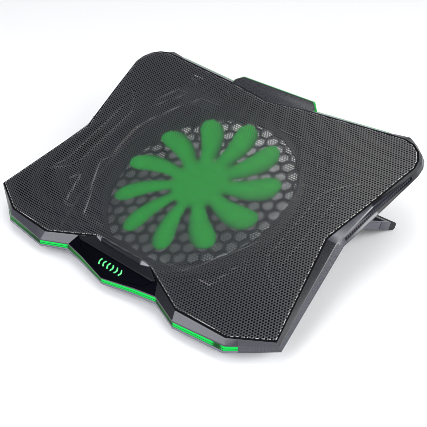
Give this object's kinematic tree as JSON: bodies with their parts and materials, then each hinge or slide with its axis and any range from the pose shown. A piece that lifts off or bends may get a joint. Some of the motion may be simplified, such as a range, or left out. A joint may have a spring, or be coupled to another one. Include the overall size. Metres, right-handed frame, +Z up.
{
  "type": "laptop cooling pad",
  "caption": "Laptop cooling pad: faceted hourglass frame with a perforated steel top, one large lit fan, light strips and flip-out rear legs.",
  "frame": {"origin": "on the ground, under the middle of the object's bounding box", "axes": "+Z up, +X to the pad's right as its user sees it, +Y to its rear; the pad's plane is raised at the rear by its legs"},
  "size_m": [0.4016, 0.2882, 0.1005],
  "materials": {
    "frame_plastic": "fine satin texture, slate with a violet cast",
    "shell_plastic": "fine matte texture",
    "black_steel": "powder coated perforated sheet",
    "bezel_plastic": "smooth satin",
    "lip_end_plastic": "smooth satin, light grey",
    "gloss_black": "piano black",
    "light_guide": "translucent light guide, lit green",
    "glow_green": "lit green mark",
    "trim_plastic": "ribbed, matte",
    "circuit_board": "solder mask",
    "copper_winding": "enamelled copper",
    "bearing_brass": "sintered bronze",
    "steel": "ground",
    "magnet": "bonded ferrite",
    "fan_green": "translucent, lit green",
    "leg_plastic": "fine satin texture",
    "black_rubber": "matte rubber",
    "plated_steel": "nickel plated",
    "button_plastic": "smooth satin",
    "lead_pvc": "PVC sleeve",
    "screw_steel": "blackened"
  },
  "bodies": {
    "pad": {"bearing": "bearing_brass", "bottom_shell": "shell_plastic", "case_screws": "screw_steel", "control_board": "circuit_board", "fan_lead": "lead_pvc", "fan_shroud": "shell_plastic", "front_bezel": "bezel_plastic", "front_feet": "black_rubber", "front_light": "light_guide", "glow_mark": "glow_green", "led_board": "circuit_board", "leg_pin_left": "steel", "leg_pin_right": "steel", "light_lead": "lead_pvc", "lip_ends": "lip_end_plastic", "logo_plate": "gloss_black", "mesh_panel": "black_steel", "motor_base": "shell_plastic", "motor_screws": "screw_steel", "port_panel": "bezel_plastic", "rear_bar_light": "light_guide", "rear_cover": "bezel_plastic", "rear_feet": "black_rubber", "rear_light_left": "light_guide", "rear_light_right": "light_guide", "side_trim_left": "trim_plastic", "side_trim_right": "trim_plastic", "stator": "copper_winding", "stop_lip": "bezel_plastic", "tact_switch": "plated_steel", "top_frame": "frame_plastic", "usb_socket_1": "plated_steel", "usb_socket_2": "plated_steel"},
    "fan": {"fan_rotor": "fan_green", "fan_shaft": "steel", "magnet_ring": "magnet"},
    "button": {"light_button": "button_plastic"},
    "left_leg": {"leg_left": "leg_plastic", "leg_tip_left": "black_rubber"},
    "right_leg": {"leg_right": "leg_plastic", "leg_tip_right": "black_rubber"}
  },
  "joints": [
    {"name": "fan_spin", "type": "hinge", "parent": "pad", "child": "fan", "pos_m": [0, 0.00103, 0.04848], "axis": [0, -0.2672, 0.9636], "continuous": true},
    {"name": "left_leg_fold", "type": "hinge", "parent": "pad", "child": "left_leg", "pos_m": [-0.1545, 0.03856, 0.05163], "axis": [1, 0, 0], "range_deg": [0, 48.8]},
    {"name": "right_leg_fold", "type": "hinge", "parent": "pad", "child": "right_leg", "pos_m": [0.1545, 0.03856, 0.05163], "axis": [1, 0, 0], "range_deg": [0, 48.8]},
    {"name": "light_button_press", "type": "slide", "parent": "pad", "child": "button", "axis": [0, -0.9636, -0.2672], "range_m": [0, 0.0012], "stiffness_N_per_m": 500}
  ]
}
